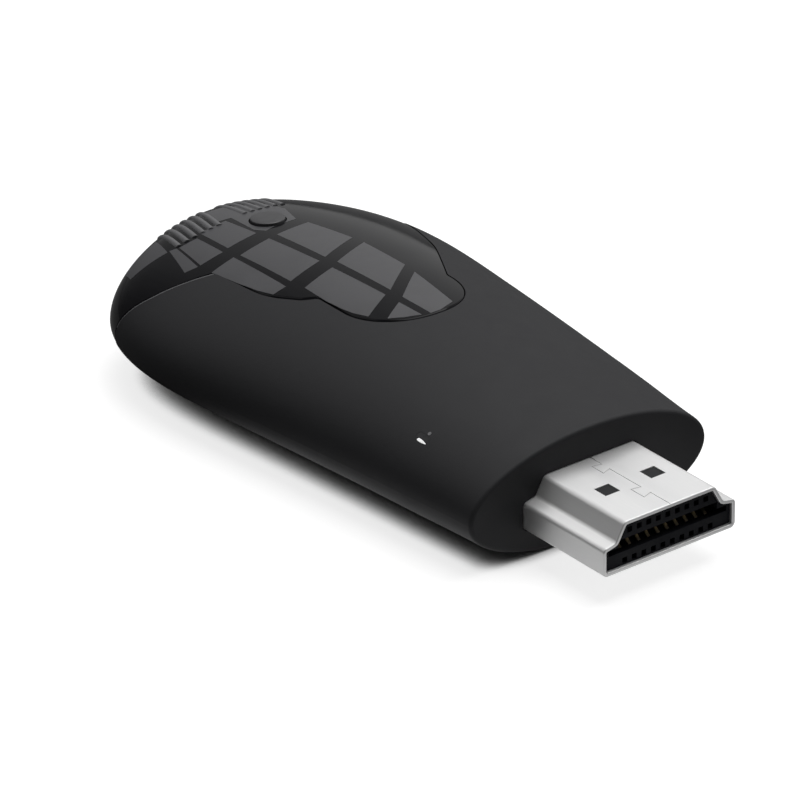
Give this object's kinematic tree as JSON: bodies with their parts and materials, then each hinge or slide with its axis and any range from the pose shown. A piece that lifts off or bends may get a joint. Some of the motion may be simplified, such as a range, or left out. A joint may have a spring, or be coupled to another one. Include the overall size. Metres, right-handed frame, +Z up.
{
  "type": "wireless display dongle",
  "caption": "Plug-in wireless display dongle: oval matte housing with a glossy rear cap, mode button, video plug in front and power socket behind.",
  "frame": {"origin": "centre of the video plug where it leaves the housing's front face", "axes": "+X out along the plug, +Y to the side, +Z up through the mode button and the plug's narrow side"},
  "size_m": [0.063, 0.0322, 0.0121],
  "materials": {
    "matte_shell": "fine matte moulded texture",
    "gloss_cap": "polished black with a printed grid of grey panes",
    "button_plastic": "satin moulded",
    "plated_shell": "bright nickel plate on pressed sheet",
    "plated_contact": "gold flash",
    "insulator": "moulded",
    "board_laminate": "solder mask",
    "chip_resin": "moulded resin",
    "ceramic_body": "fired",
    "resistor_body": "glazed",
    "ferrite_body": "moulded ferrite",
    "tinned_can": "tinned sheet",
    "aluminium_plate": "rolled sheet",
    "soft_pad": "soft silicone",
    "adhesive_film": "film",
    "screw_steel": "black zinc",
    "spring_steel": "bright strip",
    "light_body": "moulded",
    "clear_lens": "frosted clear moulding"
  },
  "bodies": {
    "housing": {"upper_shell": "matte_shell", "lower_shell": "matte_shell", "gloss_cap": "gloss_cap", "cap_adhesive": "adhesive_film", "switch_base": "insulator", "switch_cover": "spring_steel", "switch_dome": "spring_steel", "switch_terminals": "tinned_can", "video_plug_shell": "plated_shell", "video_plug_insulator": "insulator", "video_plug_upper_contacts": "plated_contact", "video_plug_lower_contacts": "plated_contact", "power_socket_shell": "plated_shell", "power_socket_tongue": "insulator", "power_socket_pins": "plated_contact", "main_board": "board_laminate", "board_screws": "screw_steel", "processor": "chip_resin", "thermal_pad": "soft_pad", "heat_spreader": "aluminium_plate", "memory_chip": "chip_resin", "flash_chip": "chip_resin", "radio_module_board": "board_laminate", "radio_chip": "chip_resin", "radio_shield": "tinned_can", "antenna": "ceramic_body", "crystals": "tinned_can", "inductors": "ferrite_body", "regulators": "chip_resin", "protection_chips": "chip_resin", "capacitors": "ceramic_body", "resistors": "resistor_body", "status_led": "light_body", "light_pipe": "clear_lens"},
    "mode_button": {"mode_button": "button_plastic"},
    "switch_plunger": {"switch_plunger": "insulator"}
  },
  "joints": [
    {"name": "button_press", "type": "slide", "parent": "housing", "child": "mode_button", "axis": [0, 0, -1], "range_m": [0, 0.00025], "stiffness_N_per_m": 4000},
    {"name": "plunger_press", "type": "slide", "parent": "housing", "child": "switch_plunger", "axis": [0, 0, -1], "range_m": [0, 0.00025], "deforming": ["switch_dome"]}
  ],
  "couplings": [
    {"joint": "plunger_press", "follows": "button_press", "ratio": 1}
  ]
}
